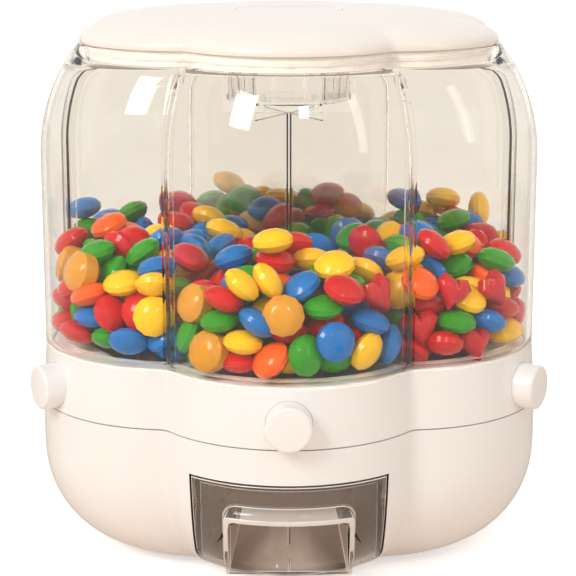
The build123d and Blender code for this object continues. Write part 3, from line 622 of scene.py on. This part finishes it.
clear_ps = clear_plastic("Polystyrene, injection moulded, clear, polished", "#FCFBF9", 0.015)
heights = [barrel_straight + (barrel_top - barrel_straight) * k / 14 for k in range(15)]
outside = [(full_tip, ring_top)] + [(shoulder_tip(z), z) for z in heights]
mouth_low = barrel_top - mouth_depth
inside = [(shoulder_tip(z) - barrel_wall, z) for z in reversed(heights) if z < mouth_low]
inside.append((full_tip - barrel_wall, foot_top))
foot = [(full_tip - foot_depth, foot_top), (full_tip - foot_depth, ring_top)]
mouth = [(mouth_tip, barrel_top), (mouth_tip, mouth_low)]
bm = lobed_body(outside + mouth + inside + foot, close=False)
ends = [e for e in bm.edges if e.is_boundary]
bmesh.ops.bridge_loops(bm, edges=ends)
bmesh.ops.recalc_face_normals(bm, faces=bm.faces)
barrel = make_piece("barrel", bm, clear_ps)
valley_turns = [Matrix.Rotation(pi / lobes * (2 * k + 1), 4, "Z") for k in range(lobes)]
bm = bmesh.new()
for turn in valley_turns:
    for side in (-1, 1):
        spot = Matrix.Translation((side * rib_near, rib_middle, (foot_top + rib_top) / 2))
        size = Matrix.Diagonal((rib_width, rib_length, rib_top - foot_top, 1))
        made = bmesh.ops.create_cube(bm, size=1)["verts"]
        bmesh.ops.transform(bm, verts=made, matrix=turn @ spot @ size)
ribs = make_piece("ribs", bm, clear_ps)
levels = [foot_top - 0.5 * mm] + heights
combine(ribs, lobed_body([(shoulder_tip(z) - barrel_wall / 2, z) for z in levels]), "INTERSECT")
levels = [foot_top - 1 * mm] + levels
combine(ribs, lobed_body([(shoulder_tip(z) - barrel_wall - rib_depth, z) for z in levels]), "DIFFERENCE")
join_pieces(barrel, ribs, "UNION")
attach(barrel, "carousel")
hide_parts("clear_barrel")
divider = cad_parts["divider_star"]
divider.data.materials.clear()
divider.data.materials.append(clear_ps)

# Lid: a domed white cover in ABS with a plug skirt that drops into the barrel's mouth, a soft seal round it
# and a round disc let into its top.
lid_tip = 88 * mm
lid_low = 203.9 * mm
lid_edge = 205.3 * mm
lid_top = 214.5 * mm
lid_flat = 40 * mm
lid_skin = 4 * mm
skirt_tip = 86.3 * mm
skirt_low = 197.5 * mm
skirt_wall = 1.8 * mm
disc_round = 21.5 * mm
disc_depth = 1.6 * mm
disc_gap = 0.35 * mm
socket_round = 28.1 * mm
socket_wall = 1.6 * mm
socket_low = 0.3 * mm
socket_high = 3 * mm
socket_roof = 4.6 * mm


def dome(rise, tip, flat, foot_level, steps=10):
    """The side of a shallow dome: a quarter ellipse from its edge up to its flat top."""
    turns = [pi / 2 * k / steps for k in range(steps + 1)]
    return [(flat + (tip - flat) * cos(a), foot_level + rise * sin(a)) for a in turns]


def round_bar(radius, bottom, top, segments=96):
    """A round upright bar on the spindle's axis."""
    bm = bmesh.new()
    bmesh.ops.create_cone(bm, cap_ends=True, segments=segments, radius1=radius, radius2=radius,
                          depth=top - bottom)
    bmesh.ops.translate(bm, vec=(0, 0, (bottom + top) / 2), verts=bm.verts)
    return bm


lid_white = white_abs("ABS, injection moulded, warm white, lid", "#FDF6EE", "#F9EEE3")
under = dome(lid_top - lid_edge - lid_skin, skirt_tip - skirt_wall, lid_flat - 3 * mm, lid_edge)
skirt = [(skirt_tip - skirt_wall, skirt_low), (skirt_tip, skirt_low), (skirt_tip, lid_low)]
over = [(lid_tip, lid_low)] + dome(lid_top - lid_edge, lid_tip, lid_flat, lid_edge)
lid = make_piece("lid", lobed_body(list(reversed(under)) + skirt + over), lid_white)
combine(lid, round_bar(disc_round + disc_gap, lid_top - disc_depth, lid_top + 2 * mm), "DIFFERENCE")
bm = round_bar(socket_round + socket_wall, lid_low + socket_low, lid_top - socket_high)
socket = make_piece("socket", bm, lid_white)
combine(socket, round_bar(socket_round, lid_low - 1 * mm, lid_top - socket_roof), "DIFFERENCE")
join_pieces(lid, socket, "UNION")
soften(lid, 0.3 * mm)
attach(lid, "lid")
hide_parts("lid_cover")
bm = round_bar(disc_round, lid_top - disc_depth, lid_top)
rim = [e for e in bm.edges if min(v.co.z for v in e.verts) > lid_top - 1e-6]
bmesh.ops.bevel(bm, geom=rim, affect="EDGES", offset=0.5 * mm, segments=4, profile=0.5, material=-1)
disc = make_piece("lid_disc", bm, lid_white)
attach(disc, "lid")
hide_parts("lid_centre_cap")
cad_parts["lid_seal"].data.materials.clear()
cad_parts["lid_seal"].data.materials.append(seal_rubber)

# Drying-agent basket: a clear fluted cup, moulded in polystyrene, that hangs from the lid by a bayonet.
# Slots between its flutes let the air through, and a small ring under it takes a fingertip.
cup_round = 26 * mm
cup_wall = 1.4 * mm
cup_low = 178.4 * mm
cup_top = 207.2 * mm
cup_ring = 12.3 * mm
cup_ring_low = 174.2 * mm
cup_flutes = 24
flute_depth = 0.5 * mm
slot_half = 1.1 * mm
slot_low = cup_low + 5 * mm
wing_half = 8 * mm
wing_low = cup_top - 1.6 * mm
wing_reach = 1.2 * mm
bm = bmesh.new()
made = bmesh.ops.create_circle(bm, segments=8 * cup_flutes, radius=cup_round)
for v in made["verts"]:
    along = atan2(v.co.y, v.co.x)
    v.co *= 1 - flute_depth / cup_round * (0.5 + 0.5 * cos(cup_flutes * along))
    v.co.z = cup_low
lower = bm.edges[:]
upper = bmesh.ops.extrude_edge_only(bm, edges=lower)["geom"]
bmesh.ops.translate(bm, vec=(0, 0, cup_top - cup_low), verts=only_verts(upper))
bmesh.ops.edgeloop_fill(bm, edges=lower)
bmesh.ops.recalc_face_normals(bm, faces=bm.faces)
basket = make_piece("basket", bm, clear_ps)
add_wall(basket, cup_wall)
for k in range(6):
    bm = bmesh.new()
    bmesh.ops.create_cube(bm, size=1)
    turn = Matrix.Rotation(pi / 6 * (k + 0.5), 4, "Z")
    lift = Matrix.Translation((0, 0, (slot_low + skirt_low) / 2))
    size = Matrix.Diagonal((2 * slot_half, 3 * cup_round, skirt_low - slot_low, 1))
    bmesh.ops.transform(bm, verts=bm.verts, matrix=turn @ lift @ size)
    combine(basket, bm, "DIFFERENCE")
finger = make_piece("finger", round_bar(cup_ring, cup_ring_low, cup_low + 0.5 * mm), clear_ps)
combine(finger, round_bar(cup_ring - cup_wall, cup_ring_low - 1 * mm, cup_low - 0.1 * mm), "DIFFERENCE")
join_pieces(basket, finger, "UNION")
for k in range(3):
    shape = box_corners(wing_half, wing_low, cup_top)
    wing = front_plate(shape, -cup_round + cup_wall, -cup_round - wing_reach)
    turn = Matrix.Rotation(radians(90 + 120 * k), 3, "Z")
    bmesh.ops.rotate(wing, cent=(0, 0, 0), matrix=turn, verts=wing.verts)
    combine(basket, wing, "UNION")
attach(basket, "basket")
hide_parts("desiccant_basket")

# Sweets: about six hundred sugar-coated chocolate lentils in six compartments, with a few butterscotch
# discs low on the left and sugar hearts low on the right. They are dropped and pushed apart until they rest.
lentil_round = 8.0 * mm
lentil_half = 4.7 * mm
fill_floor = 87.4 * mm
funnel_top = 84.7 * mm
bead_ring = 4.3 * mm
bead_round = 3.7 * mm
divider_half = 1.0 * mm
fill_counts = (103, 100, 100, 102, 100, 100)
rest_steps = 300
sink_share = 0.7
sink_step = 0.2 * mm
wall_gap = 0.2 * mm
near_reach = 2.2 * lentil_round
odd_apart = 2 * lentil_round
funnel_reach = full_tip - foot_depth - 12 * mm
shell_colours = {"red": "#C90907", "green": "#26900F", "blue": "#046DBA", "yellow": "#F9C002",
                 "orange": "#F45C02"}
shell_shares = (0.27, 0.24, 0.21, 0.22, 0.06)


def sugar_shell(name, light, deep):
    """A panned sugar coat, polished with wax: even colour with a faint mottle, smooth and softly glossy."""
    material = bare_material(name)
    place = add_node(material, "ShaderNodeTexCoord").outputs["Object"]
    mottle = add_node(material, "ShaderNodeTexNoise", {"Scale": 260, "Detail": 3}, {"Vector": place})
    tone = add_node(material, "ShaderNodeMix", {"data_type": "RGBA", 6: linear(light), 7: linear(deep)},
                    {0: mottle.outputs["Fac"]})
    rough = add_node(material, "ShaderNodeMapRange", {3: 0.13, 4: 0.22}, {0: mottle.outputs["Fac"]})
    bump = add_node(material, "ShaderNodeBump", {"Strength": 0.12, "Distance": 0.0003},
                    {"Height": mottle.outputs["Fac"]})
    shader = add_node(material, "ShaderNodeBsdfPrincipled",
                      {"IOR": 1.45, "Specular IOR Level": 0.3, "Coat Weight": 0.3, "Coat Roughness": 0.05},
                      {"Base Color": tone.outputs[2], "Roughness": rough.outputs[0],
                       "Normal": bump.outputs[0]})
    add_node(material, "ShaderNodeOutputMaterial", {}, {"Surface": shader.outputs[0]})
    return material


def push_apart(places, frames, steps):
    """Lets discs of seven beads each sink and push each other and the walls until they hardly overlap."""
    radii = np.array([lentil_half] + [bead_round] * 6)
    angles = np.arange(6) * pi / 3
    ring_spots = np.stack([bead_ring * np.cos(angles), bead_ring * np.sin(angles), 0 * angles], axis=1)
    spots = np.vstack([[0, 0, 0], ring_spots])
    facing = (-pi / 2 + pi / lobes - pi / 2, -pi / 2 - pi / lobes + pi / 2)
    walls = np.array([[cos(a), sin(a)] for a in facing])
    hub = np.array([0, -lobe_centre])
    for step in range(steps):
        if step < steps * sink_share:
            places[:, 2] -= sink_step
        beads = places[:, None, :] + np.einsum("nij,bj->nbi", frames, spots)
        if step % 8 == 0:
            gaps = np.linalg.norm(places[:, None, :] - places[None, :, :], axis=2)
            one, two = np.where(np.triu(gaps < near_reach, 1))
        moves = np.zeros_like(beads)
        apart = beads[one][:, :, None, :] - beads[two][:, None, :, :]
        far = np.linalg.norm(apart, axis=3) + 1e-9
        press = np.maximum(0, radii[None, :, None] + radii[None, None, :] - far)
        shove = apart / far[..., None] * press[..., None] * 0.5
        np.add.at(moves, one, shove.sum(axis=2))
        np.add.at(moves, two, -shove.sum(axis=1))
        for wall in walls:
            press = np.maximum(0, divider_half + radii[None, :] - beads[..., :2] @ wall)
            moves[..., :2] += press[..., None] * wall
        out = beads[..., :2] - hub
        far = np.linalg.norm(out, axis=2) + 1e-9
        press = np.maximum(0, far + radii[None, :] - (lobe_round - barrel_wall - wall_gap))
        press *= (out[..., 1] < 0) | (np.abs(out[..., 0]) > 0.8 * np.abs(out[..., 1]))
        moves[..., :2] -= out / far[..., None] * press[..., None]
        floor = np.where(np.linalg.norm(beads[..., :2], axis=2) > funnel_reach, fill_floor, funnel_top)
        moves[..., 2] += np.maximum(0, floor + radii[None, :] - beads[..., 2])
        touched = np.maximum(1, (np.abs(moves).sum(axis=2) > 0).sum(axis=1))
        places += moves.sum(axis=1) / touched[:, None] * 0.9
        arms = beads - places[:, None, :]
        twist = np.cross(arms, moves).sum(axis=1) / (touched[:, None] * bead_ring ** 2) * 0.7
        frames += np.cross(twist[:, :, None], frames, axisa=1, axisb=1, axisc=1)
        first = frames[:, :, 0] / np.linalg.norm(frames[:, :, 0], axis=1, keepdims=True)
        second = frames[:, :, 1] - first * (first * frames[:, :, 1]).sum(axis=1, keepdims=True)
        second /= np.linalg.norm(second, axis=1, keepdims=True)
        frames = np.stack([first, second, np.cross(first, second)], axis=2)
    return places, frames


def drop_sweets(count, seed):
    """Places and frames of one compartment's sweets, in the front lobe."""
    dice = np.random.default_rng(seed)
    places = []
    while len(places) < count:
        angle = dice.uniform(-pi / lobes, pi / lobes)
        away = (full_tip - 14 * mm) * sqrt(dice.uniform(0.04, 1))
        spot = (away * sin(angle), -away * cos(angle))
        inside = np.hypot(spot[0], spot[1] + lobe_centre) < lobe_round - 9 * mm
        if (inside or away < lobe_centre) and away * sin(pi / lobes - abs(angle)) > lentil_half:
            places.append((*spot, fill_floor + dice.uniform(4, 74) * mm))
    lying = np.array([0, 0, 1]) + 0.5 * dice.normal(size=(count, 3))
    lying /= np.linalg.norm(lying, axis=1, keepdims=True)
    second = np.cross(lying, dice.normal(size=(count, 3)))
    second /= np.linalg.norm(second, axis=1, keepdims=True)
    frames = np.stack([np.cross(second, lying), second, lying], axis=2)
    return push_apart(np.array(places), frames, rest_steps)


def sweet_shape(kind):
    """The mesh of one sweet, of a few dozen faces: a lentil, a thicker flat disc or a heart."""
    bm = bmesh.new()
    made = bmesh.ops.create_uvsphere(bm, u_segments=12, v_segments=7, radius=1)["verts"]
    for v in made:
        if kind == "butterscotch":
            v.co.z = 1.15 * abs(v.co.z) ** 0.55 * (1 if v.co.z > 0 else -1)
        if kind == "heart":
            t = atan2(v.co.x, v.co.y)
            far = 1.06 * sqrt(v.co.x ** 2 + v.co.y ** 2) / 17
            v.co.x = far * 16 * sin(t) ** 3
            v.co.y = far * (13 * cos(t) - 5 * cos(2 * t) - 2 * cos(3 * t) - cos(4 * t))
    mesh = bpy.data.meshes.new(kind)
    bm.to_mesh(mesh)
    bm.free()
    return mesh


dice = np.random.default_rng(7)
sweets = []
for k in range(lobes):
    places, frames = drop_sweets(fill_counts[k], 20 + k)
    spin = np.array(Matrix.Rotation(2 * pi / lobes * k, 3, "Z"))
    for place, axes in zip(places, frames):
        near_wall = np.hypot(place[0], place[1] + lobe_centre) > lobe_round - 12 * mm
        hub = spin @ np.array([0, -lobe_centre, 0])
        sweets.append({"place": spin @ place, "axes": spin @ axes, "hub": hub, "wall": near_wall,
                       "kind": dice.choice(list(shell_colours), p=shell_shares)})

# some spots at the front wall hold the other kinds, which lie with their faces against the wall
odd_spots = [("butterscotch", -37, 109), ("butterscotch", -25, 98), ("butterscotch", 1, 105),
             ("butterscotch", -71, 133), ("butterscotch", -74, 140), ("heart", 34, 110), ("heart", 56, 101),
             ("heart", 74, 116), ("heart", 76, 104), ("heart", 64, 122)]
odd_ones = []
for kind, x, z in odd_spots:
    free = [sweet for sweet in sweets if sweet["wall"] and sweet["place"][1] < -20 * mm
            and all(np.linalg.norm(sweet["place"] - other["place"]) > odd_apart for other in odd_ones)]
    sweet = min(free, key=lambda one: (one["place"][0] - x * mm) ** 2 + (one["place"][2] - z * mm) ** 2)
    odd_ones.append(sweet)
    sweet["kind"] = kind
    outward = Vector(sweet["place"] - sweet["hub"])
    outward.z = 0.12 * outward.length
    outward.normalize()
    across = Vector((0, 0, 1)).cross(outward).normalized()
    tilt = Matrix.Rotation(dice.uniform(-0.4, 0.4), 3, outward)
    sweet["axes"] = np.array([tilt @ across, tilt @ outward.cross(across), outward]).T

coats = {kind: sugar_shell(f"Sugar shell, panned, {kind}", code, code)
         for kind, code in shell_colours.items()}
coats["butterscotch"] = sugar_shell("Boiled sugar, pressed, butterscotch", "#D8982B", "#CB871B")
coats["heart"] = sugar_shell("Boiled sugar, pressed, raspberry", "#CC1822", "#B5121C")
for kind, coat in coats.items():
    shape = sweet_shape(kind)
    bm = bmesh.new()
    for sweet in [one for one in sweets if one["kind"] == kind]:
        size = dice.uniform(0.96, 1.02)
        turn = Matrix(sweet["axes"].tolist()).to_4x4()
        place = Matrix.Translation(Vector(sweet["place"])) @ turn
        stretch = Matrix.Diagonal((lentil_round * size, lentil_round * size, lentil_half * size, 1))
        placed = shape.copy()
        placed.transform(place @ stretch)
        bm.from_mesh(placed)
        bpy.data.meshes.remove(placed)
    bpy.data.meshes.remove(shape)
    pile = make_piece(f"sweets_{kind}", bm, coat)
    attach(pile, "carousel")

# Studio: a pale floor, soft white light from all round, a softbox at the upper left of the camera, a strip
# at the right and a small window high in front. The background is white and the floor keeps the shadow.
floor_reach = 8.0
beige_code = "#FEF6EC"
camera_place = (0, -0.7544, 0.2733)
camera_tilt = 13.03
softboxes = [("softbox", (-0.95, -1.1, 1.15), 0.5, 0.7, 12.2, "#FFFDFA"),
             ("strip", (1.25, -0.75, 0.75), 0.2, 0.9, 1.4, "#FFFAF4"),
             ("window", (0.35, -1.5, 1.3), 0.25, 0.25, 2.0, "#FFFFFF")]


def aim_at(spot, target):
    """Turns a lamp or the camera towards a point."""
    return (Vector(target) - Vector(spot)).to_track_quat("-Z", "Y")


for name, spot, width, height, power, tint in softboxes:
    lamp = bpy.data.lights.new(name, "AREA")
    lamp.shape = "RECTANGLE"
    lamp.size = width
    lamp.size_y = height
    lamp.energy = power
    lamp.color = linear(tint)[:3]
    stand = bpy.data.objects.new(name, lamp)
    stand.location = spot
    stand.rotation_mode = "QUATERNION"
    stand.rotation_quaternion = aim_at(spot, (0, 0, 0.1))
    bpy.context.scene.collection.objects.link(stand)

sky = bpy.data.worlds.new("white_room")
bpy.context.scene.world = sky
sky.use_nodes = True
sky.node_tree.nodes.clear()
direction = add_node(sky, "ShaderNodeTexCoord").outputs["Generated"]
side = add_node(sky, "ShaderNodeSeparateXYZ", {}, {0: direction})
behind = add_node(sky, "ShaderNodeMapRange", {1: -1.0, 2: 0.8, 3: 0.04, 4: 1.0}, {0: side.outputs["Y"]})
room_light = add_node(sky, "ShaderNodeBackground", {"Color": linear("#FFFDFB"), "Strength": 0.66})
backdrop = add_node(sky, "ShaderNodeBackground", {"Color": (1, 1, 1, 1), "Strength": 1.0})
mirrored = add_node(sky, "ShaderNodeBackground", {"Color": linear("#FFFCFA")},
                    {"Strength": behind.outputs[0]})
beige_wall = add_node(sky, "ShaderNodeBackground", {"Color": linear(beige_code), "Strength": 1.0})
bounce = by_ray(sky, "Is Glossy Ray", room_light, mirrored)
through = by_ray(sky, "Is Transmission Ray", bounce, beige_wall)
shown = by_ray(sky, "Is Camera Ray", through, backdrop)
add_node(sky, "ShaderNodeOutputWorld", {}, {"Surface": shown.outputs[0]})

card = bare_material("Paper, matt white, seamless")
place = add_node(card, "ShaderNodeTexCoord").outputs["Object"]
fibre = add_node(card, "ShaderNodeTexNoise", {"Scale": 400, "Detail": 3}, {"Vector": place})
tone = add_node(card, "ShaderNodeMix", {"data_type": "RGBA", 6: linear("#FFFFFF"), 7: linear("#FBFAF8")},
                {0: fibre.outputs["Fac"]})
matt = add_node(card, "ShaderNodeBsdfDiffuse", {}, {"Color": tone.outputs[2]})
warm = add_node(card, "ShaderNodeBsdfDiffuse", {"Color": linear("#F6E0D0")})
glow = add_node(card, "ShaderNodeEmission", {"Color": (1, 1, 1, 1), "Strength": 0.5})
lifted = add_node(card, "ShaderNodeAddShader", {}, {0: matt.outputs[0], 1: glow.outputs[0]})
# what shows through the clear parts is the room's pale beige
beige = add_node(card, "ShaderNodeEmission", {"Color": linear(beige_code), "Strength": 1.0})
mirrored_floor = add_node(card, "ShaderNodeEmission", {"Color": linear("#F8EBDD"), "Strength": 0.6})
in_gloss = by_ray(card, "Is Glossy Ray", warm, mirrored_floor)
behind_clear = by_ray(card, "Is Transmission Ray", in_gloss, beige)
paper = by_ray(card, "Is Camera Ray", behind_clear, lifted)
add_node(card, "ShaderNodeOutputMaterial", {}, {"Surface": paper.outputs[0]})
bm = bmesh.new()
bmesh.ops.create_grid(bm, x_segments=1, y_segments=1, size=floor_reach)
floor = make_piece("floor", bm, card)

lens = bpy.data.cameras.new("camera")
lens.lens = 115.7
lens.sensor_width = 36
lens.shift_x = -0.0017
camera = bpy.data.objects.new("camera", lens)
camera.location = camera_place
camera.rotation_euler = (radians(90 - camera_tilt), 0, 0)
bpy.context.scene.collection.objects.link(camera)
bpy.context.scene.camera = camera
bpy.context.scene.view_settings.view_transform = "Standard"
